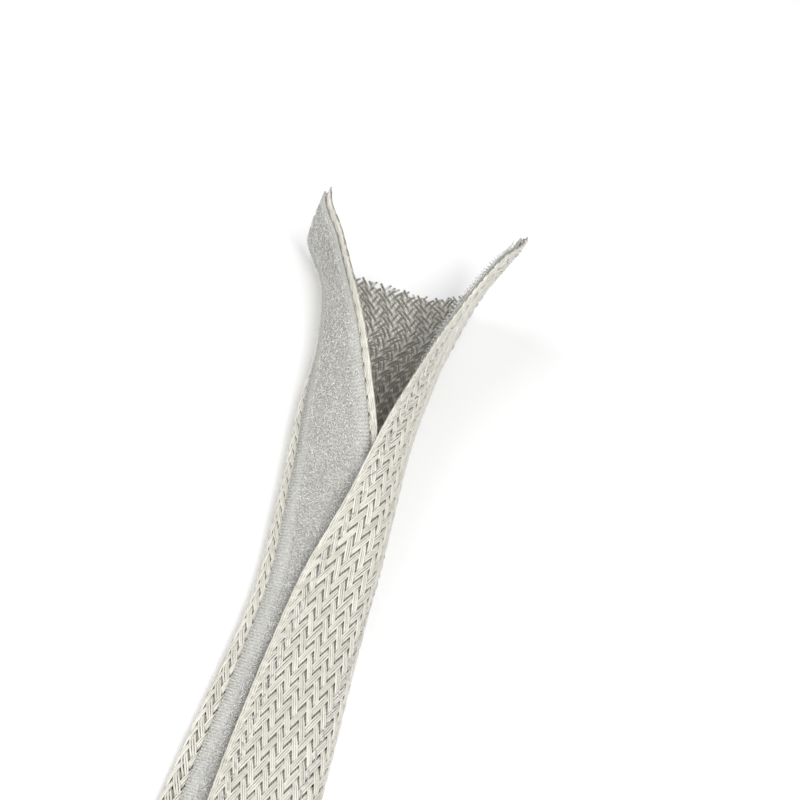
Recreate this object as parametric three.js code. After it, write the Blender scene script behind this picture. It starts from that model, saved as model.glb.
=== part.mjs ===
// A hook and loop cable sleeve: a flat braided sheet with a tape along each edge, rolled into a tube.
// It lies along Y with its closed end at low Y. The flaps at the other end stand open. Millimetres, +Z up.
import * as THREE from 'three';

// Sheet, laid flat
const sheetWidth = 90;
const sheetLength = 236;
const braidThickness = 1.0;
const selvedgeWidth = 2.0;
const ridgeHeight = 0.28;

// Weave: one column holds one crossing, and every second point of the grid lies between the yarns
const columnPitch = 1.9;
const rowPitch = 5.9;
const gapHalfWidth = 0.5;
const gapHalfLength = 1.5;
const fringeReach = 1.0;

// Tapes
const tapeWidth = 20;
const loopTapeThickness = 1.2;
const hookTapeThickness = 1.0;
const tapeBorder = 2.0;
const borderThickness = 0.5;

// Clearance between sewn or closed faces
const seatClearance = 0.3;

// The ridges are pressed flat where the sheet rests on the floor, and rise again past it
const restMargin = 1.0;
const restFade = 3.0;

// The open end isn't cut square: each flap and the back lead or lag by these lengths
const leftFlapLead = -1.5;
const rightFlapLead = 2;
const backLead = 4;
const skewLength = 96;

// From the middle of one flap to the middle of the other where they lie closed
const closedStack = braidThickness + loopTapeThickness + hookTapeThickness + 3 * seatClearance;

// One side of the sheet, from its middle outwards: a stretch flat on the floor, a bend and a flap.
// turn is the angle of the bend, and curl is the further angle that the flap curves through.
function side(floor, bend, turn, curl) {
  return { floor, bend, turn: THREE.MathUtils.degToRad(turn), curl: THREE.MathUtils.degToRad(curl) };
}

// How the sheet lies at places measured back from its open end. spread is the width of the plain braid
// there, over its width laid flat: a braid that is pushed together grows wider. The right side's bend has
// the closed stack added, because that side goes round the left one.
const sections = [
  { back: 0, shift: -11.9, spread: 1.34, left: side(14.1, 17, 90, 6), right: side(5.4, 13.8, 66, 11) },
  { back: 16, shift: -7.4, spread: 1.28, left: side(13.5, 13.5, 92, -2), right: side(1.2, 16.2, 81, 0) },
  { back: 36, shift: -11.4, spread: 1.02, left: side(6.6, 13.5, 102, 0), right: side(1, 23.4, 95, -1) },
  { back: 61, shift: -11.8, spread: 0.93, left: side(5.7, 14.2, 122, 14), right: side(0.7, 30.2, 120, 3) },
  { back: 91, shift: -9, spread: 0.89, left: side(6.4, 15, 153, 24), right: side(4.7, 27, 158, 10) },
  { back: 126, shift: -6.2, spread: 0.92, left: side(8, 14.3, 175, 22), right: side(9.6, 12.1, 164, 13) },
  { back: 206, shift: -4.2, spread: 1.19, left: side(15.1, 11, 175, 12), right: side(12.8, 8.1, 170, 2) },
];

function smoothStep(from, to, at) {
  return THREE.MathUtils.smoothstep(at, from, to);
}

// A smooth curve through one value of the sections, level at both ends
function alongSections(back, pick) {
  const last = sections.length - 1;
  if (back <= sections[0].back) {
    return pick(sections[0]);
  }
  if (back >= sections[last].back) {
    return pick(sections[last]);
  }
  const next = sections.findIndex((section) => section.back > back);
  const slope = (k) => {
    if (k === 0 || k === last) {
      return 0;
    }
    const before = sections[k - 1];
    const after = sections[k + 1];
    return (pick(after) - pick(before)) / (after.back - before.back);
  };
  const a = sections[next - 1];
  const b = sections[next];
  const span = b.back - a.back;
  const t = (back - a.back) / span;
  const t2 = t * t;
  const t3 = t2 * t;
  return pick(a) * (2 * t3 - 3 * t2 + 1) + pick(b) * (3 * t2 - 2 * t3)
    + slope(next - 1) * span * (t3 - 2 * t2 + t) + slope(next) * span * (t3 - t2);
}

// A point that has gone a length along an arc that turns through an angle, in the plane of the section
function alongArc(point, length, fullLength, fullTurn) {
  const turned = fullTurn * length / fullLength;
  if (Math.abs(fullTurn) < 1e-4) {
    const x = point.x + length * Math.cos(point.heading);
    return { x, z: point.z + length * Math.sin(point.heading), heading: point.heading };
  }
  const radius = fullLength / fullTurn;
  const heading = point.heading + turned;
  return {
    x: point.x + radius * (Math.sin(heading) - Math.sin(point.heading)),
    z: point.z - radius * (Math.cos(heading) - Math.cos(point.heading)),
    heading,
  };
}

// The middle surface: across is measured from the left free edge and along from the closed end
function sheetPoint(across, along) {
  const back = sheetLength - along;
  const value = (pick) => alongSections(back, pick);
  const edgeZone = selvedgeWidth + tapeWidth;
  const plainWidth = sheetWidth - 2 * edgeZone;
  const spread = value((section) => section.spread);
  const plainPart = THREE.MathUtils.clamp(across - edgeZone, 0, plainWidth);
  const halfArc = (sheetWidth + plainWidth * (spread - 1)) / 2;
  const fromMiddle = across + plainPart * (spread - 1) - halfArc;
  const isRight = fromMiddle >= 0;
  const name = isRight ? 'right' : 'left';
  const stackBend = isRight ? closedStack * Math.PI / 2 : 0;
  const floor = value((section) => section[name].floor);
  const bend = value((section) => section[name].bend) + stackBend;
  const turn = value((section) => section[name].turn);
  const curl = value((section) => section[name].curl);
  const run = Math.abs(fromMiddle);
  let point = { x: Math.min(run, floor), z: 0, heading: 0 };
  point = alongArc(point, THREE.MathUtils.clamp(run - floor, 0, bend), bend, turn);
  point = alongArc(point, Math.max(run - floor - bend, 0), halfArc - floor - bend, curl);
  const x = (isRight ? point.x : -point.x) + value((section) => section.shift);
  const fromCentre = Math.abs(across / sheetWidth - 0.5) * 2;
  const flapShare = smoothStep(0.25, 0.95, fromCentre);
  const flapLead = across < sheetWidth / 2 ? leftFlapLead : rightFlapLead;
  const lead = (flapLead * flapShare + backLead * (1 - flapShare)) * (1 - smoothStep(0, skewLength, back));
  const onFloor = 1 - smoothStep(floor + restMargin, floor + restMargin + restFade, run);
  return { position: new THREE.Vector3(x, along + lead, point.z + braidThickness / 2), onFloor };
}

// The unit vector that points into the tube, square to the sheet
function sheetInward(across, along) {
  const step = 0.05;
  const u0 = sheetPoint(across - step, along).position;
  const u1 = sheetPoint(across + step, along).position;
  const v0 = sheetPoint(across, along - step).position;
  const v1 = sheetPoint(across, along + step).position;
  return u1.sub(u0).cross(v1.sub(v0)).normalize();
}

// A closed slab that follows the sheet. cells gives, for each face, triangles of point keys that run
// anticlockwise seen from inside the tube, and place gives a key's across, along, outer and inner height.
// Both faces share their edge keys, so the walls join each open edge of one face to the other.
function slab(outerCells, innerCells, place) {
  const positions = [];
  const indexOf = new Map();
  const vertex = (key, face) => {
    const name = `${face}:${key}`;
    if (!indexOf.has(name)) {
      const spot = place(key);
      const height = face === 'inner' ? spot.inner : spot.outer;
      const point = sheetPoint(spot.across, spot.along).position;
      point.addScaledVector(sheetInward(spot.across, spot.along), height);
      indexOf.set(name, positions.length / 3);
      positions.push(point.x, point.y, point.z);
    }
    return indexOf.get(name);
  };
  const triangles = [];
  const edges = new Map();
  for (const [a, b, c] of innerCells) {
    triangles.push(vertex(a, 'inner'), vertex(b, 'inner'), vertex(c, 'inner'));
    for (const [from, to] of [[a, b], [b, c], [c, a]]) {
      if (!edges.delete(`${to}>${from}`)) {
        edges.set(`${from}>${to}`, [from, to]);
      }
    }
  }
  for (const [a, b, c] of outerCells) {
    triangles.push(vertex(a, 'outer'), vertex(c, 'outer'), vertex(b, 'outer'));
  }
  for (const [from, to] of edges.values()) {
    triangles.push(vertex(to, 'inner'), vertex(from, 'inner'), vertex(from, 'outer'));
    triangles.push(vertex(to, 'inner'), vertex(from, 'outer'), vertex(to, 'outer'));
  }
  const geometry = new THREE.BufferGeometry();
  geometry.setAttribute('position', new THREE.Float32BufferAttribute(positions, 3));
  geometry.setIndex(triangles);
  return geometry;
}

// The weave goes over two and under two: a float on the outer face joins columns 0 and 1 of every four
// one way, and columns 3 and 2 the other way. On the inner face the same yarns show where they dive.
const repeat = 4;

function hasFloat(face, column, rising) {
  const place = column % repeat;
  const first = rising ? 0 : 2;
  return place === (face === 'outer' ? first : (first + 2) % repeat);
}

// The tapes have the same rows, so that they lie evenly on the braid
const rows = 2 * Math.round(sheetLength / rowPitch / 2);
const columns = repeat * Math.round(sheetWidth / columnPitch / repeat);

function isCrossing(column, row) {
  return (column + row) % 2 === 0;
}

// Gaps between the yarns that go right through: on the sides of the tube, and on its back where the open
// end shows it. The strip that rests on the floor has none further in.
function isGap(column, row) {
  const across = column / columns * sheetWidth;
  const along = row / rows * sheetLength;
  const edgeZone = selvedgeWidth + tapeWidth + seatClearance + gapHalfWidth;
  if (isCrossing(column, row) || column % repeat !== 2 || row < 2 || row > rows - 2) {
    return false;
  }
  if (across < edgeZone || across > sheetWidth - edgeZone) {
    return false;
  }
  const spot = sheetPoint(across, along);
  const shownBack = sheetLength / 3;
  return spot.onFloor < 0.5 || sheetLength - along < shownBack;
}

// The ridges are pressed flat under a tape. The selvedge beside it stays bare.
function bareShare(fromEdge) {
  const underTape = smoothStep(0, selvedgeWidth, fromEdge);
  const pastTape = smoothStep(selvedgeWidth + tapeWidth, selvedgeWidth + tapeWidth + columnPitch / 2, fromEdge);
  return 1 - underTape + pastTape;
}

function braidedSheet() {
  const spotOf = new Map();
  const keyAt = (column, row, du = 0, dv = 0) => {
    const key = `${column},${row},${du},${dv}`;
    if (!spotOf.has(key)) {
      const across = column / columns * sheetWidth + du * gapHalfWidth;
      const sign = isCrossing(column, row) ? 1 : -1;
      const loose = Math.min(bareShare(across), bareShare(sheetWidth - across));
      const fringe = row === rows ? fringeReach * sign * loose : 0;
      const along = row / rows * sheetLength + dv * gapHalfLength + fringe;
      const flat = sheetPoint(across, along).onFloor;
      const relief = ridgeHeight * sign;
      spotOf.set(key, {
        across,
        along,
        inner: braidThickness / 2 + relief * bareShare(sheetWidth - across),
        outer: -(braidThickness / 2 + relief * bareShare(across) * (1 - flat)),
      });
    }
    return key;
  };
  const corner = (column, row, towardColumn, towardRow) => {
    if (!isGap(column, row)) {
      return [keyAt(column, row)];
    }
    return [keyAt(column, row, ...towardColumn), keyAt(column, row, ...towardRow)];
  };
  const cellsOf = (face) => {
    const cells = [];
    for (let row = 0; row < rows; row += 1) {
      for (let column = 0; column < columns; column += 1) {
        const rising = isCrossing(column, row);
        const floats = hasFloat(face, column, rising);
        const lowLeft = corner(column, row, [0, 1], [1, 0]);
        const lowRight = corner(column + 1, row, [-1, 0], [0, 1]);
        const highRight = corner(column + 1, row + 1, [0, -1], [-1, 0]);
        const highLeft = corner(column, row + 1, [1, 0], [0, -1]);
        const ring = rising === floats
          ? [lowLeft, lowRight, highRight, highLeft]
          : [lowRight, highRight, highLeft, lowLeft];
        cells.push(...fanAcross(ring));
      }
    }
    return cells;
  };
  return slab(cellsOf('outer'), cellsOf('inner'), (key) => spotOf.get(key));
}

// Splits a cell along the line from its first corner to its third. A corner at a gap is two points.
function fanAcross([first, second, third, fourth]) {
  const cells = [];
  for (const half of [[first, second, third], [third, fourth, first]]) {
    const points = half.flatMap((corner, index) => {
      if (index === 1 || corner.length === 1) {
        return corner;
      }
      return index === 0 ? [corner[1]] : [corner[0]];
    });
    for (let k = 1; k < points.length - 1; k += 1) {
      cells.push([points[0], points[k], points[k + 1]]);
    }
  }
  for (const [near, far] of [[first, third], [third, first]]) {
    if (near.length === 2) {
      cells.push([near[0], near[1], far[0]]);
    }
  }
  return cells;
}

// A tape on one face of the sheet. Its woven border is thin, and the field of loops or hooks stands up.
function tape(start, thickness, facesInward) {
  const shoulder = thickness - borderThickness;
  const fieldWidth = tapeWidth - 2 * (tapeBorder + shoulder);
  const fieldColumns = 5;
  const stops = [[0, borderThickness], [tapeBorder, borderThickness]];
  for (let k = 0; k <= fieldColumns; k += 1) {
    stops.push([tapeBorder + shoulder + fieldWidth * k / fieldColumns, thickness]);
  }
  stops.push([tapeWidth - tapeBorder, borderThickness], [tapeWidth, borderThickness]);
  const seat = braidThickness / 2 + seatClearance;
  const cells = [];
  for (let row = 0; row < rows; row += 1) {
    for (let k = 0; k < stops.length - 1; k += 1) {
      const [a, b, c, d] = [`${k},${row}`, `${k + 1},${row}`, `${k + 1},${row + 1}`, `${k},${row + 1}`];
      cells.push([a, b, c], [a, c, d]);
    }
  }
  return slab(cells, cells, (key) => {
    const [k, row] = key.split(',').map(Number);
    const across = start + stops[k][0];
    const along = row / rows * sheetLength;
    const free = seat + stops[k][1];
    return facesInward
      ? { across, along, inner: free, outer: seat }
      : { across, along, inner: -seat, outer: -free };
  });
}

function finish(name, geometry, color, roughness) {
  geometry.computeVertexNormals();
  const material = new THREE.MeshStandardMaterial({ color, roughness, metalness: 0 });
  const mesh = new THREE.Mesh(geometry, material);
  mesh.name = name;
  return mesh;
}

const group = new THREE.Group();
group.add(finish('braided_sheet', braidedSheet(), '#e9e5da', 0.55));
group.add(finish('loop_tape', tape(selvedgeWidth, loopTapeThickness, false), '#cfcfcd', 0.9));
const hookStart = sheetWidth - selvedgeWidth - tapeWidth;
group.add(finish('hook_tape', tape(hookStart, hookTapeThickness, true), '#c4c5c4', 0.6));

// The origin is under the middle of the whole part, on the floor
const bounds = new THREE.Box3().setFromObject(group);
const middle = bounds.getCenter(new THREE.Vector3());
group.position.set(-middle.x, -middle.y, -bounds.min.z);
group.updateMatrixWorld(true);

export default group;
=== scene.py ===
# %% [markdown]
# # Hook and loop cable sleeve
# The sleeve is one flat braid of stiff, clear-ivory monofilament with a tape sewn along each edge. It is
# rolled into a tube, closed at the near end and flared open at the far one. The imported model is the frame:
# it gives the place and the size, and everything made here is laid on the same curved surface.

# %% Load the frame
import math

import bmesh
import bpy
import numpy as np
from mathutils import Matrix, Vector


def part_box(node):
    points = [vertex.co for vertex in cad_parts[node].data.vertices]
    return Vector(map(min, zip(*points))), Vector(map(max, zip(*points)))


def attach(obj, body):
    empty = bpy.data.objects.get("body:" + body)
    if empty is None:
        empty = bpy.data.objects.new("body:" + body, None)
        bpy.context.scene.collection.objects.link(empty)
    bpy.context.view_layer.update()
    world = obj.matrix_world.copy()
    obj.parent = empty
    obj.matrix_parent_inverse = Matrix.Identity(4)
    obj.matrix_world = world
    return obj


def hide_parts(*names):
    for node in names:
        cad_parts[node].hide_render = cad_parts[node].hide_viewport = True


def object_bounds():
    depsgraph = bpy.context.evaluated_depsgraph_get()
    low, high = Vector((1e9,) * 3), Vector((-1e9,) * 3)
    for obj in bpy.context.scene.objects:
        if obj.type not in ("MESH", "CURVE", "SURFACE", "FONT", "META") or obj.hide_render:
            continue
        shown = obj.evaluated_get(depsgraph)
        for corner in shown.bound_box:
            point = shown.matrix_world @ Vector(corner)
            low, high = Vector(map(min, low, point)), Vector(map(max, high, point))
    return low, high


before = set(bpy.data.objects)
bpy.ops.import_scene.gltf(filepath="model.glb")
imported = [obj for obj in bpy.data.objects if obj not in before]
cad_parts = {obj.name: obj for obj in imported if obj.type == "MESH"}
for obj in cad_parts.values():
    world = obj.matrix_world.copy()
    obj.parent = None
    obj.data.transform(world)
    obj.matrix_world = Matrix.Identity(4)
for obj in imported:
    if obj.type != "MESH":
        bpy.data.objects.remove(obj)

cad_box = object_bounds()
print("CAD box", cad_box)

# %% [markdown]
# ## Sizes
# The same driving sizes as the part's source, in metres. Laid flat, across runs from the left free edge to
# the right one, and along from the closed end to the open one.

# %% Sizes
MM = 0.001
SHEET_WIDTH = 90 * MM
SHEET_LENGTH = 236 * MM
BRAID_THICKNESS = 1.0 * MM
SELVEDGE_WIDTH = 2.0 * MM
TAPE_WIDTH = 20 * MM
LOOP_TAPE_THICKNESS = 1.2 * MM
HOOK_TAPE_THICKNESS = 1.0 * MM
SEAT_CLEARANCE = 0.3 * MM
LEFT_FLAP_LEAD = -1.5 * MM
RIGHT_FLAP_LEAD = 2 * MM
BACK_LEAD = 4 * MM
SKEW_LENGTH = 96 * MM
CLOSED_STACK = BRAID_THICKNESS + LOOP_TAPE_THICKNESS + HOOK_TAPE_THICKNESS + 3 * SEAT_CLEARANCE

# %% [markdown]
# ## How the sheet lies
# A soft tube has no straight edges to extrude, so its shape is a row of cross sections. Each side of a
# section is a flat stretch on the floor, a bend and a flap, and every size of it is blended smoothly along
# the sleeve. Lengths are in millimetres and turns in degrees. A lattice or a cloth simulation could roll a
# flat sheet too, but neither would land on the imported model.

# %% Sections, measured back from the open end
SECTION_FIELDS = ("back", "shift", "spread",
                  "left_floor", "left_bend", "left_turn", "left_curl",
                  "right_floor", "right_bend", "right_turn", "right_curl")
SECTIONS = [
    (0, -11.9, 1.34, 14.1, 17, 90, 6, 5.4, 13.8, 66, 11),
    (16, -7.4, 1.28, 13.5, 13.5, 92, -2, 1.2, 16.2, 81, 0),
    (36, -11.4, 1.02, 6.6, 13.5, 102, 0, 1, 23.4, 95, -1),
    (61, -11.8, 0.93, 5.7, 14.2, 122, 14, 0.7, 30.2, 120, 3),
    (91, -9, 0.89, 6.4, 15, 153, 24, 4.7, 27, 158, 10),
    (126, -6.2, 0.92, 8, 14.3, 175, 22, 9.6, 12.1, 164, 13),
    (206, -4.2, 1.19, 15.1, 11, 175, 12, 12.8, 8.1, 170, 2),
]


def column_of(field):
    values = np.array([row[SECTION_FIELDS.index(field)] for row in SECTIONS], float)
    if field.endswith(("turn", "curl")):
        return np.radians(values)
    return values if field == "spread" else values * MM


def along_sections(back, field):
    """A smooth curve through one value of the sections, level at both ends."""
    stations = column_of("back")
    values = column_of(field)
    slopes = np.zeros(len(values))
    slopes[1:-1] = (values[2:] - values[:-2]) / (stations[2:] - stations[:-2])
    back = np.clip(back, stations[0], stations[-1])
    k = np.clip(np.searchsorted(stations, back, side="right") - 1, 0, len(stations) - 2)
    span = stations[k + 1] - stations[k]
    t = (back - stations[k]) / span
    return (values[k] * (2 * t**3 - 3 * t**2 + 1) + values[k + 1] * (3 * t**2 - 2 * t**3)
            + slopes[k] * span * (t**3 - 2 * t**2 + t) + slopes[k + 1] * span * (t**3 - t**2))


def smooth_step(low, high, at):
    t = np.clip((at - low) / (high - low), 0, 1)
    return t * t * (3 - 2 * t)


print(len(SECTIONS), "sections, the last one", SECTIONS[-1][0], "mm back from the open end")

# %% [markdown]
# ## The middle surface
# Every point of the flat sheet has one place on the rolled one. A cross section runs over the floor, around
# the bend and up the flap, so a straight stretch and two arcs are enough. A loft through drawn outlines
# would give the same skin, but it wouldn't say where a yarn of the flat sheet goes.

# %% The middle surface of the sheet
def along_arc(x, z, heading, length, full_length, full_turn):
    turn = np.where(np.abs(full_turn) < 1e-6, 1e-6, full_turn)
    radius = full_length / turn
    end = heading + turn * length / full_length
    return (x + radius * (np.sin(end) - np.sin(heading)),
            z - radius * (np.cos(end) - np.cos(heading)), end)


def middle_surface(across, along):
    """Points of the sheet's middle surface, with the sheet's own corner as the origin."""
    across, along = np.broadcast_arrays(np.asarray(across, float), np.asarray(along, float))
    back = SHEET_LENGTH - along
    edge_zone = SELVEDGE_WIDTH + TAPE_WIDTH
    plain_width = SHEET_WIDTH - 2 * edge_zone
    spread = along_sections(back, "spread")
    half_arc = (SHEET_WIDTH + plain_width * (spread - 1)) / 2
    from_middle = across + np.clip(across - edge_zone, 0, plain_width) * (spread - 1) - half_arc
    right = from_middle >= 0
    pick = {name: np.where(right, along_sections(back, "right_" + name), along_sections(back, "left_" + name))
            for name in ("floor", "bend", "turn", "curl")}
    bend = pick["bend"] + np.where(right, CLOSED_STACK * math.pi / 2, 0)
    run = np.abs(from_middle)
    x = np.minimum(run, pick["floor"])
    z = np.zeros_like(x)
    x, z, heading = along_arc(x, z, z, np.clip(run - pick["floor"], 0, bend), bend, pick["turn"])
    rest = np.maximum(run - pick["floor"] - bend, 0)
    x, z, heading = along_arc(x, z, heading, rest, half_arc - pick["floor"] - bend, pick["curl"])
    x = np.where(right, x, -x) + along_sections(back, "shift")
    flap = smooth_step(0.25, 0.95, np.abs(across / SHEET_WIDTH - 0.5) * 2)
    flap_lead = np.where(across < SHEET_WIDTH / 2, LEFT_FLAP_LEAD, RIGHT_FLAP_LEAD)
    lead = (flap_lead * flap + BACK_LEAD * (1 - flap)) * (1 - smooth_step(0, SKEW_LENGTH, back))
    return np.stack([x, along + lead, z + BRAID_THICKNESS / 2], axis=-1)


def outward_of(across, along):
    """The unit vector that points out of the tube, square to the sheet."""
    step = 0.05 * MM
    du = middle_surface(across + step, along) - middle_surface(across - step, along)
    dv = middle_surface(across, along + step) - middle_surface(across, along - step)
    normal = np.cross(dv, du)
    return normal / np.linalg.norm(normal, axis=-1, keepdims=True)


# %% [markdown]
# ## On the frame
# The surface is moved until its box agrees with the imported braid, so that all that is laid on it lies on
# the solids. Moving the finished objects instead would leave them away from the origin.

# %% Lay the surface on the frame
def corner_offset():
    across, along = np.meshgrid(np.linspace(0, SHEET_WIDTH, 91), np.linspace(0, SHEET_LENGTH, 237))
    middle = middle_surface(across, along)
    outward = outward_of(across, along) * BRAID_THICKNESS / 2
    faces = np.concatenate([middle + outward, middle - outward]).reshape(-1, 3)
    low, high = (np.array(corner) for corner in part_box("braided_sheet"))
    offset = (low + high) / 2 - (faces.min(0) + faces.max(0)) / 2
    offset[1] = low[1] - faces[:, 1].min()
    offset[2] = 0
    return offset


OFFSET = corner_offset()


def lay(across, along, height):
    """Points a height outside the middle surface, in the frame."""
    return middle_surface(across, along) + outward_of(across, along) * np.asarray(height)[..., None] + OFFSET


print("offset of the sheet's corner, mm", (OFFSET / MM).round(2))

# %% [markdown]
# ## Camera
# The photograph looks along the sleeve from about 44 degrees above, with a long lens, and the picture is
# turned 19 degrees clockwise. The camera is built from those angles and aimed at a point of the sleeve's
# axis.

# %% Camera
ELEVATION = math.radians(44)
ROLL = math.radians(19)
CAMERA_DISTANCE = 1.0
PIXELS = 800
FOCAL_PIXELS = 3750
AIM_BACK = 40.8 * MM

aim = Vector((OFFSET[0], cad_box[1][1] - AIM_BACK, 0))
right = Vector((1, 0, 0))
up = Vector((0, math.sin(ELEVATION), math.cos(ELEVATION)))
towards = Vector((0, -math.cos(ELEVATION), math.sin(ELEVATION)))
camera_right = right * math.cos(ROLL) + up * math.sin(ROLL)
camera_up = up * math.cos(ROLL) - right * math.sin(ROLL)
camera = bpy.data.objects.new("camera", bpy.data.cameras.new("camera"))
camera.data.sensor_width = 36
camera.data.lens = 36 * FOCAL_PIXELS / PIXELS
camera.data.clip_end = 50
turned = Matrix((camera_right, camera_up, towards)).transposed().to_4x4()
camera.matrix_world = Matrix.Translation(aim + towards * CAMERA_DISTANCE) @ turned
bpy.context.collection.objects.link(camera)
bpy.context.scene.camera = camera
print("lens", camera.data.lens)

# %% [markdown]
# ## Shader maths
# Materials read better as sums than as node lists. A small class wraps a socket, so that an expression such
# as 1 - mask adds its own Math node. Colours are blended with Mix nodes.

# %% Socket maths
class Maths:
    """A socket of a node tree that takes part in expressions."""

    def __init__(self, tree, socket):
        self.tree = tree
        self.socket = socket

    def node(self, kind, settings=(), output=0, **inputs):
        made = self.tree.nodes.new(kind)
        for name, value in dict(settings).items():
            setattr(made, name, value)
        for name, value in inputs.items():
            numbered = name[0] == "i" and name[1:].isdigit()
            socket = made.inputs[int(name[1:]) if numbered else name]
            if isinstance(value, Maths):
                self.tree.links.new(value.socket, socket)
            else:
                socket.default_value = value
        return Maths(self.tree, made.outputs[output])

    def maths(self, operation, *values):
        inputs = {f"i{k}": value for k, value in enumerate(values)}
        return self.node("ShaderNodeMath", {"operation": operation}, **inputs)

    def __add__(self, other):
        return self.maths("ADD", self, other)

    def __sub__(self, other):
        return self.maths("SUBTRACT", self, other)

    def __rsub__(self, other):
        return self.maths("SUBTRACT", other, self)

    def __mul__(self, other):
        return self.maths("MULTIPLY", self, other)

    __radd__ = __add__
    __rmul__ = __mul__

    def noise(self, scale, detail=2.0, roughness=0.5):
        return self.node("ShaderNodeTexNoise", Vector=self, Scale=scale, Detail=detail, Roughness=roughness)

    def band(self, low, high):
        return self.node("ShaderNodeMapRange", {"clamp": True}, i0=self, i1=low, i2=high)

    def blend(self, first, second):
        return self.node("ShaderNodeMix", {"data_type": "RGBA"}, output=2, i0=self, i6=first, i7=second)

    def bump(self, strength, distance):
        return self.node("ShaderNodeBump", Height=self, Strength=strength, Distance=distance)


def new_material(name, **constants):
    """A material with its Principled shader, and the Object coordinates to write expressions on."""
    material = bpy.data.materials.new(name)
    material.use_nodes = True
    shader = material.node_tree.nodes["Principled BSDF"]
    for socket, value in constants.items():
        shader.inputs[socket.replace("_", " ")].default_value = value
    coordinates = material.node_tree.nodes.new("ShaderNodeTexCoord")
    return material, shader, Maths(material.node_tree, coordinates.outputs["Object"])


def feed(shader, socket, value):
    value.tree.links.new(value.socket, shader.inputs[socket])


# %% [markdown]
# ## Monofilament
# The braid is extruded polyester: smooth, slightly see-through and warm ivory. Each filament takes its own
# tone from a value kept on the mesh, because the real ones come from different bobbins. A second value is
# painted shade: it darkens what lies deep in the weave, where little light gets in. Faint clouds vary the
# tone and the gloss.

# %% Monofilament material
def own_value(material, name):
    attribute = material.node_tree.nodes.new("ShaderNodeAttribute")
    attribute.attribute_name = name
    return Maths(material.node_tree, attribute.outputs["Fac"])


def monofilament_material():
    material, shader, here = new_material("monofilament", Roughness=0.38, Coat_Weight=0.3, Coat_Roughness=0.2)
    cloud = here.noise(420, 3).band(0.3, 0.7)
    tone = own_value(material, "tone") * 0.6 + cloud * 0.4
    colour = tone.blend((0.50, 0.485, 0.42, 1), (0.72, 0.705, 0.64, 1))
    # painted shade: what lies deep in the weave is blended towards dark brown
    feed(shader, "Base Color", own_value(material, "painted_shade").blend((0.17, 0.16, 0.13, 1), colour))
    feed(shader, "Roughness", cloud * 0.18 + 0.26)
    return material


MONOFILAMENT = monofilament_material()
print(MONOFILAMENT.name, len(MONOFILAMENT.node_tree.nodes), "nodes")

# %% [markdown]
# ## The braid
# A flat braid has two sets of yarns that slant across the sheet in opposite ways, over two and under two.
# Each yarn is a flat bundle of parallel filaments, and at the sheet's edge it turns and runs along the
# selvedge. A texture can't give the gaps or the shadows between yarns, so each filament is a thin curve
# with a round bevel. The curves of half a set become one mesh. A crossing lies at every second point of a
# grid of columns and rows.

# %% Sizes of the weave
COLUMNS = 92
ROW_PITCH = 3.1 * MM
SHORTEST_ROW = 0.68
SHORTENING = (100 * MM, 185 * MM)
FILAMENTS_PER_YARN = 3
FILAMENT_RADIUS = 0.27 * MM
FILAMENT_PITCH = 0.54 * MM
YARN_RISE = 0.30 * MM
EDGE_TURN = 0.85 * MM
EDGE_RUN = 2.5
SPLIT_OFFSETS = (-0.54 * MM, 0.5 * MM, 0.58 * MM)
SAMPLES_PER_CROSSING = 2
LOOSE_END = 1.3 * MM
MESH_STARTS_BACK = 44 * MM
MESH_FULL_BACK = 13.2 * MM
MESH_SIDES = (24 * MM, 30 * MM)
TURN_EASE = 0.35 * MM
CROSSING_EASE = 0.18
YARN_SQUEEZE = 0.16
SIDEWAYS_PLAY = 0.03 * MM
UPWARD_PLAY = 0.02 * MM
# painted shade deep in the weave: the heights, as shares of the rise, over which it fades, and its darkest
# value
SHADED_HEIGHTS = (-0.95, -0.1)
DARKEST_PAINTED_SHADE = 0.14

column_step = SHEET_WIDTH / COLUMNS


def row_places():
    """Where each row lies along the sheet. The open end is pushed together, so its rows are shorter.

    The table reaches past both ends, because slanting yarns start outside the sheet.
    """
    along = np.linspace(-0.4 * SHEET_LENGTH, 1.4 * SHEET_LENGTH, 4000)
    pitch = ROW_PITCH * (1 - (1 - SHORTEST_ROW) * smooth_step(*SHORTENING, along))
    row = np.concatenate([[0], np.cumsum(np.diff(along) / pitch[1:])])
    return row - np.interp(0, along, row), along


ROW_TABLE = row_places()
ROWS = int(np.interp(SHEET_LENGTH, ROW_TABLE[1], ROW_TABLE[0]))
closed_angle = math.degrees(math.atan2(column_step, ROW_PITCH))
open_angle = math.degrees(math.atan2(column_step * SECTIONS[0][2], ROW_PITCH * SHORTEST_ROW))
print("rows", ROWS, "braid angle in degrees, closed", round(closed_angle, 1), "open", round(open_angle, 1))


def over_under(column):
    """1 where the rising yarns lie outside, -1 where they lie inside, with a quick change between."""
    wave = np.cos(math.pi * (column - 0.5) / 2)
    return wave / np.sqrt(wave * wave + CROSSING_EASE)


def soft_floor(value, low, ease):
    """The value, held above low with a rounded corner."""
    return low + ease * np.logaddexp(0, (value - low) / ease)


# %% [markdown]
# ## One filament
# The filaments of a real yarn dive and rise together. A simulation could settle them, but a worked-out wave
# keeps the two sets apart and costs no time. Near the open end each yarn parts into two strands, which
# gives the open mesh seen at the back.

# %% One filament of a yarn
def yarn_line(rising, index):
    """Flat places along a yarn's middle: its column, across and along."""
    column = np.arange(-EDGE_RUN, COLUMNS + EDGE_RUN, 1 / SAMPLES_PER_CROSSING)
    row = 2 * index + (column if rising else -column)
    across = soft_floor(column * column_step, EDGE_TURN, TURN_EASE)
    across = SHEET_WIDTH - soft_floor(SHEET_WIDTH - across, EDGE_TURN, TURN_EASE)
    return column, across, np.interp(row, *ROW_TABLE)


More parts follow.
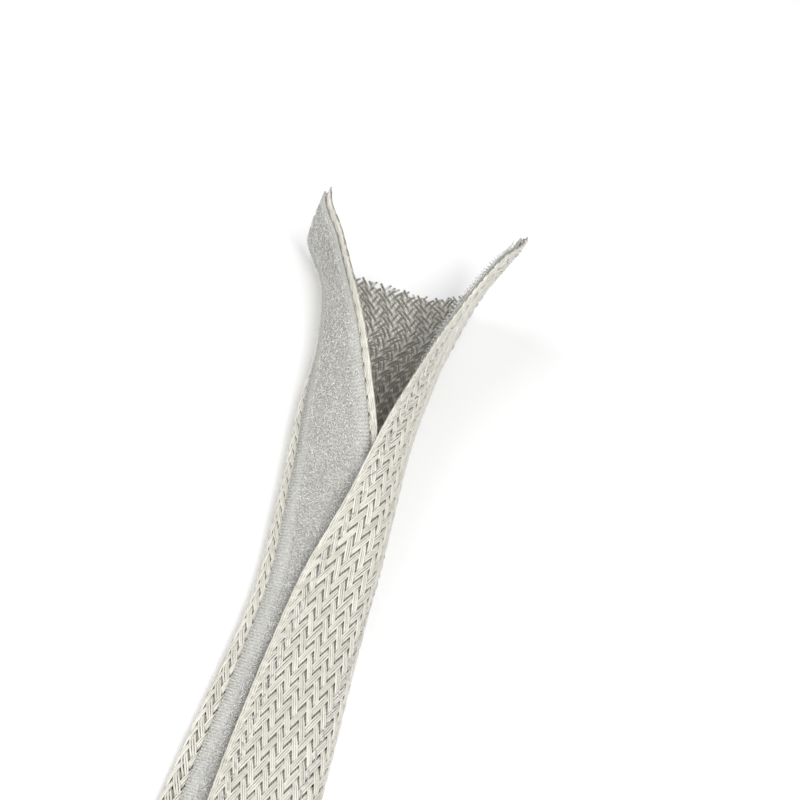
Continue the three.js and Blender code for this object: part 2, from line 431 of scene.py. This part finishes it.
def filament_points(rising, index, place, rng):
    """The route of one filament in the frame and its painted shade, darker deep in the weave, or None where
    it has no length.

    place is its place in the yarn, from -1 to 1.
    """
    column, across, along = yarn_line(rising, index)
    du = np.gradient(across)
    dv = np.gradient(along)
    length = np.hypot(du, dv)
    over = over_under(column)
    tight = 1 - YARN_SQUEEZE * (1 - over * over)
    opened = smooth_step(SHEET_LENGTH - MESH_STARTS_BACK, SHEET_LENGTH - MESH_FULL_BACK, along)
    opened = opened * smooth_step(*MESH_SIDES, np.minimum(across, SHEET_WIDTH - across))
    offset = place * (FILAMENTS_PER_YARN - 1) / 2 * FILAMENT_PITCH * tight
    offset = offset + (np.interp(place, (-1, 0, 1), SPLIT_OFFSETS) - offset) * opened
    offset = offset + rng.normal(0, SIDEWAYS_PLAY)
    across = across + offset * dv / length
    along = along - offset * du / length
    height = (1 if rising else -1) * YARN_RISE * over + rng.normal(0, UPWARD_PLAY)
    end = SHEET_LENGTH + rng.uniform(-LOOSE_END, LOOSE_END)
    kept = (along >= 0) & (along <= end)
    if kept.sum() < 3:
        return None
    # painted shade: the deeper a point lies in the weave, the darker it is painted
    painted_shade = DARKEST_PAINTED_SHADE + (1 - DARKEST_PAINTED_SHADE) * smooth_step(*SHADED_HEIGHTS, height[kept] / YARN_RISE)
    return lay(across[kept], along[kept], height[kept]), painted_shade


# %% [markdown]
# ## Threads as one mesh
# Filaments, pile, hooks and stitches are all thin round threads. Thousands of objects would be slow, so
# each group is one curve with a round bevel, which becomes one mesh with closed ends. The mesh keeps each
# thread's own tone and, for the braid, a painted shade at each point, darker the deeper it lies.

# %% Curves to one mesh
def mesh_of_curves(name, lines, radius, sides_step, material, tones, painted_shades=None):
    """One piece made of round threads that follow the lines. Each thread has its own tone, from 0 to 1.

    The last argument, when given, holds a painted shade for each point of each line, darker deep in the
    weave.
    """
    curve = bpy.data.curves.new(name, "CURVE")
    curve.dimensions = "3D"
    curve.bevel_depth = radius
    curve.bevel_resolution = sides_step
    for line in lines:
        spline = curve.splines.new("POLY")
        spline.points.add(len(line) - 1)
        flat = np.ones((len(line), 4))
        flat[:, :3] = line
        spline.points.foreach_set("co", flat.ravel())
    bent = bpy.data.objects.new(name + "_curve", curve)
    bpy.context.collection.objects.link(bent)
    graph = bpy.context.evaluated_depsgraph_get()
    mesh = bpy.data.meshes.new_from_object(bent.evaluated_get(graph))
    bpy.data.objects.remove(bent)
    bpy.data.curves.remove(curve)
    points = np.array([len(line) for line in lines])
    sides = len(mesh.vertices) // points.sum()
    tone = mesh.attributes.new("tone", "FLOAT", "POINT")
    tone.data.foreach_set("value", np.repeat(tones, sides * points))
    # the painted shade of the braid, darker deep in the weave, is kept on the mesh
    if painted_shades is not None:
        painted_shade = mesh.attributes.new("painted_shade", "FLOAT", "POINT")
        painted_shade.data.foreach_set("value", np.repeat(np.concatenate(painted_shades), sides))
    work = bmesh.new()
    work.from_mesh(mesh)
    open_edges = [edge for edge in work.edges if edge.is_boundary]
    bmesh.ops.holes_fill(work, edges=open_edges, sides=8)
    for face in work.faces:
        face.smooth = True
    work.to_mesh(mesh)
    work.free()
    mesh.materials.clear()
    return finish_piece(name, mesh, material)


def finish_piece(name, mesh, material):
    """A named object at the origin that rides on the part's only body."""
    mesh.name = name
    mesh.materials.append(material)
    piece = bpy.data.objects.new(name, mesh)
    bpy.context.collection.objects.link(piece)
    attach(piece, "root")
    triangles = sum(len(face.vertices) - 2 for face in mesh.polygons)
    print(name, triangles, "triangles")
    return piece


# %% [markdown]
# ## Weaving
# One set of yarns rises to the right and the other falls. Each set is split in two, every second yarn,
# which keeps a piece light enough to be shown. The four pieces together stand for the one woven sheet.

# %% Weave both sets of yarns
YARN_GROUPS = 2


def braid_group(rising, group):
    rng = np.random.default_rng(11 + group + (10 if rising else 0))
    first = -COLUMNS // 2 - 2 if rising else -1
    last = ROWS // 2 + 2 if rising else (ROWS + COLUMNS) // 2 + 2
    lines = []
    painted_shades = []
    for index in range(first, last):
        if index % YARN_GROUPS != group:
            continue
        for place in np.linspace(-1, 1, FILAMENTS_PER_YARN):
            made = filament_points(rising, index, place, rng)
            if made is not None:
                lines.append(made[0])
                painted_shades.append(made[1])
    name = f"braid_{'rising' if rising else 'falling'}_{group + 1}"
    tones = rng.random(len(lines))
    return mesh_of_curves(name, lines, FILAMENT_RADIUS, 1, MONOFILAMENT, tones, painted_shades)


braid_pieces = [braid_group(rising, group) for rising in (True, False) for group in range(YARN_GROUPS)]
for piece in braid_pieces:
    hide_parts("braided_sheet")

# %% [markdown]
# ## Cloth of the tapes
# Both tapes are woven from fine fibres in a greyed white. A picture of cloth would show its pixels close
# up, so noise at the size of a thread gives the grain and its bump. The borders are bare and lighter, and a
# value on the mesh says where they are and holds painted shade in the grooves between their ribs.

# %% Tape materials
BARE_CLOTH = ((0.42, 0.42, 0.395, 1), (0.62, 0.615, 0.585, 1))


def tape_material(name, dark, light, roughness):
    material, shader, here = new_material(name, Roughness=roughness)
    fleck = here.noise(2600, 2, 0.7).band(0.4, 0.6)
    cloud = here.noise(160, 2).band(0.3, 0.7)
    tone = fleck * 0.85 + cloud * 0.15
    bare = tone.blend(*BARE_CLOTH)
    # the border value blends in the bare cloth and also holds painted shade in the grooves between the ribs
    feed(shader, "Base Color", own_value(material, "border").blend(tone.blend(dark, light), bare))
    feed(shader, "Normal", fleck.bump(0.5, 0.15 * MM))
    return material


LOOP_CLOTH = tape_material("loop_cloth", (0.22, 0.216, 0.204, 1), (0.52, 0.515, 0.485, 1), 0.85)
HOOK_CLOTH = tape_material("hook_cloth", (0.36, 0.36, 0.35, 1), (0.58, 0.58, 0.57, 1), 0.6)
print(LOOP_CLOTH.name, HOOK_CLOTH.name)

# %% [markdown]
# ## Tape bands
# The ground of a tape is a thin flat weave with cross ribs along its borders. It could be cut from the
# solid, but a grid laid on the sheet's surface takes its ribs, its border tone and the painted shade in
# the grooves between the ribs from one wave. A Solidify modifier gives it its thickness.

# %% Tape bands
BAND_THICKNESS = 0.45 * MM
BAND_COLUMNS = 9
TAPE_FACE = BRAID_THICKNESS / 2 + SEAT_CLEARANCE + BAND_THICKNESS
NARROW_BORDER = 1.1 * MM
WIDE_BORDER = 3.3 * MM
RIB_PITCH = 1.0 * MM
RIB_HEIGHT = 0.2 * MM
# painted shade: how much darker the grooves between the border ribs are
RIB_PAINTED_SHADE = 0.35


def tape_band(name, start, side, material):
    """A woven band on the sheet. side is 1 on its outer face and -1 on its inner one."""
    work = bmesh.new()
    rows = int(SHEET_LENGTH / RIB_PITCH * 2)
    bmesh.ops.create_grid(work, x_segments=BAND_COLUMNS, y_segments=rows, size=0.5)
    flat = np.array([vertex.co[:] for vertex in work.verts])
    across = start + (flat[:, 0] + 0.5) * TAPE_WIDTH
    along = (flat[:, 1] + 0.5) * SHEET_LENGTH
    border = np.minimum(across - start, start + TAPE_WIDTH - across) < WIDE_BORDER
    wave = np.cos(2 * math.pi * along / RIB_PITCH)
    ribs = RIB_HEIGHT * wave * border
    places = lay(across, along, side * (TAPE_FACE + ribs))
    for vertex, place in zip(work.verts, places):
        vertex.co = place
    for face in work.faces:
        face.smooth = True
    mesh = bpy.data.meshes.new(name)
    work.to_mesh(mesh)
    work.free()
    bare = mesh.attributes.new("border", "FLOAT", "POINT")
    # the border tone, with painted shade in the grooves between the ribs
    bare.data.foreach_set("value", border * (1 - RIB_PAINTED_SHADE + RIB_PAINTED_SHADE * wave))
    piece = finish_piece(name, mesh, material)
    solid = piece.modifiers.new("thickness", "SOLIDIFY")
    solid.thickness = BAND_THICKNESS
    solid.offset = side
    return piece


HOOK_START = SHEET_WIDTH - SELVEDGE_WIDTH - TAPE_WIDTH
loop_band = tape_band("loop_tape_band", SELVEDGE_WIDTH, 1, LOOP_CLOTH)
hook_band = tape_band("hook_tape_band", HOOK_START, -1, HOOK_CLOTH)
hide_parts("loop_tape")
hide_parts("hook_tape")

# %% [markdown]
# ## Pile and hooks
# The loop tape is napped: thousands of fine bent fibres lean every way. The hook tape has rows of stiff cut
# hooks. Both are short curves of four points with a square bevel, because a shape that is repeated
# thousands of times may only have a few dozen faces.

# %% Pile and hooks
PILE_LOOPS = 6000
PILE_HEIGHT = 0.34 * MM
PILE_RADIUS = 0.075 * MM
HOOK_ROWS = 14
HOOK_PITCH = 1.1 * MM
HOOK_HEIGHT = 1.4 * MM
HOOK_RADIUS = 0.09 * MM
HOOK_BORDERS = (2.2 * MM, 0.66 * MM)
HOOK_PLAY = 0.08 * MM
PILE_REACH = (0.28 * MM, 0.34 * MM)
PILE_ARC = ((-1, -0.1), (-0.45, 0.9), (0.45, 1.0), (1, 0.1))
HOOK_ARC = ((0, -0.05), (0.05, 0.7), (0.3, 1.0), (0.55, 0.72))


def pile_lines():
    """Bent fibres on the loop tape's field. Each arc's steps are shares of its reach and of its height."""
    rng = np.random.default_rng(5)
    field = TAPE_WIDTH - WIDE_BORDER - NARROW_BORDER
    across = SELVEDGE_WIDTH + NARROW_BORDER + rng.random(PILE_LOOPS) * field
    along = rng.random(PILE_LOOPS) * SHEET_LENGTH
    lean = rng.random(PILE_LOOPS) * 2 * math.pi
    reach = PILE_REACH[0] + PILE_REACH[1] * rng.random(PILE_LOOPS)
    top = PILE_HEIGHT * (0.5 + 0.5 * rng.random(PILE_LOOPS))
    arcs = []
    for step, rise in PILE_ARC:
        end = np.clip(along + step * reach * np.sin(lean), 0, SHEET_LENGTH)
        arcs.append(lay(across + step * reach * np.cos(lean), end, TAPE_FACE + top * rise))
    return np.stack(arcs, axis=1)


def hook_lines():
    """Hooks in rows on the hook tape's field. Every second row of hooks bends the other way.

    Each arc's steps are a lean in millimetres and a share of the hook's height.
    """
    rng = np.random.default_rng(6)
    count = int(SHEET_LENGTH / HOOK_PITCH)
    row, step = np.meshgrid(np.arange(HOOK_ROWS), np.arange(count))
    field = TAPE_WIDTH - sum(HOOK_BORDERS)
    across = HOOK_START + HOOK_BORDERS[0] + field * (row.ravel() + 0.5) / HOOK_ROWS
    along = (step.ravel() + 0.25 + 0.5 * (row.ravel() % 2)) * HOOK_PITCH
    along = np.clip(along + rng.normal(0, HOOK_PLAY, along.size), 0, SHEET_LENGTH)
    way = np.where(row.ravel() % 2 == 0, 1, -1)
    arcs = []
    for lean, rise in HOOK_ARC:
        arcs.append(lay(across + way * lean * MM, along, -(TAPE_FACE + HOOK_HEIGHT * rise)))
    return np.stack(arcs, axis=1)


def fibre_material(name, dark, light, roughness):
    material, shader, here = new_material(name, Roughness=roughness)
    tone = own_value(material, "tone") * 0.8 + here.noise(300, 2).band(0.3, 0.7) * 0.2
    feed(shader, "Base Color", tone.blend(dark, light))
    return material


def random_tones(count, seed):
    return np.random.default_rng(seed).random(count)


PILE_FIBRE = fibre_material("pile_fibre", (0.48, 0.475, 0.45, 1), (0.88, 0.875, 0.845, 1), 0.45)
HOOK_FIBRE = fibre_material("hook_fibre", (0.52, 0.53, 0.52, 1), (0.82, 0.83, 0.82, 1), 0.3)
pile_paths = pile_lines()
hook_paths = hook_lines()
pile = mesh_of_curves("loop_pile", pile_paths, PILE_RADIUS, 0, PILE_FIBRE,
                      random_tones(len(pile_paths), 21))
hooks = mesh_of_curves("hook_field", hook_paths, HOOK_RADIUS, 0, HOOK_FIBRE,
                       random_tones(len(hook_paths), 22))

# %% [markdown]
# ## Seams
# A clear thread holds each tape with one row of stitches near each of its sides. On the face away from the
# tape the thread lies over the yarns, then dives through them. Another thread runs along the loop tape,
# where its pile starts. The threads are curves too, because a raised texture couldn't pass over and under.

# %% Seams
STITCH_PITCH = 3.3 * MM
SEAM_INSET = 1.5 * MM
THREAD_RADIUS = 0.18 * MM
THREAD_HEIGHT = BRAID_THICKNESS / 2 + 0.04 * MM
THREAD_SWAY = 0.45 * MM
STITCH_SHARPNESS = 2.2
STITCH_SHOWN = 0.7
SEAM_END = 1 * MM
BORDER_WAVE = 0.12 * MM
BORDER_STITCH = 2.17 * MM


def seam_line(across, side, phase):
    """One thread along a seam, over the sheet's face on that side."""
    along = np.arange(SEAM_END, SHEET_LENGTH - SEAM_END, STITCH_PITCH / 7)
    turn = 2 * math.pi * (along / STITCH_PITCH + phase)
    lifted = np.tanh(STITCH_SHARPNESS * (np.cos(turn) + STITCH_SHOWN))
    sway = THREAD_SWAY * np.sin(turn / 2)
    return lay(across + sway, along, side * (THREAD_HEIGHT * (0.35 + 0.65 * lifted)))


def border_thread():
    """The thread along the loop tape, where its wide border meets the pile."""
    along = np.arange(SEAM_END, SHEET_LENGTH - SEAM_END, STITCH_PITCH / 4)
    across = np.full(along.shape, SELVEDGE_WIDTH + TAPE_WIDTH - WIDE_BORDER)
    return lay(across, along, TAPE_FACE + BORDER_WAVE * np.cos(2 * math.pi * along / BORDER_STITCH))


def thread_material():
    material, shader, here = new_material("clear_thread", Roughness=0.3, Transmission_Weight=0.25, IOR=1.4)
    tone = here.noise(700, 2).band(0.3, 0.7)
    feed(shader, "Base Color", tone.blend((0.36, 0.365, 0.36, 1), (0.70, 0.705, 0.70, 1)))
    return material


THREAD = thread_material()
seam_places = [(SELVEDGE_WIDTH + SEAM_INSET, -1), (SELVEDGE_WIDTH + TAPE_WIDTH - SEAM_INSET, -1),
               (HOOK_START + SEAM_INSET, 1), (HOOK_START + TAPE_WIDTH - SEAM_INSET, 1)]
seams = [seam_line(across, side, 0.21 * k) for k, (across, side) in enumerate(seam_places)]
seams.append(border_thread())
mesh_of_curves("seam_threads", seams, THREAD_RADIUS, 1, THREAD, random_tones(len(seams), 23))

# %% [markdown]
# ## Floor and light
# A product picture on white has a pale matt floor, a soft light in front, a wider and weaker one from the
# left and white walls all around. The walls could be built, but an even white world lights the sleeve in
# the same way.

# %% Floor and light
def floor_sheet():
    work = bmesh.new()
    bmesh.ops.create_grid(work, x_segments=1, y_segments=1, size=6)
    mesh = bpy.data.meshes.new("floor")
    work.to_mesh(mesh)
    work.free()
    material, shader, here = new_material("floor", Roughness=0.9)
    tone = here.noise(3, 2).band(0.2, 0.8)
    feed(shader, "Base Color", tone.blend((0.90, 0.90, 0.90, 1), (0.92, 0.92, 0.92, 1)))
    mesh.materials.append(material)
    floor = bpy.data.objects.new("floor", mesh)
    bpy.context.collection.objects.link(floor)


def soft_light(name, place, size, power):
    light = bpy.data.lights.new(name, "AREA")
    light.shape = "DISK"
    light.size = size
    light.energy = power
    lamp = bpy.data.objects.new(name, light)
    lamp.location = place
    lamp.rotation_euler = (aim - Vector(place)).to_track_quat("-Z", "Y").to_euler()
    bpy.context.collection.objects.link(lamp)


floor_sheet()
soft_light("key_light", (0.22, -0.7, 1.0), 0.55, 13.5)
soft_light("fill_light", (-0.8, -0.25, 0.9), 1.1, 7)
world = bpy.data.worlds.new("studio")
world.use_nodes = True
world.node_tree.nodes["Background"].inputs["Color"].default_value = (1, 1, 1, 1)
world.node_tree.nodes["Background"].inputs["Strength"].default_value = 0.43
bpy.context.scene.world = world
bpy.context.scene.view_settings.view_transform = "Standard"
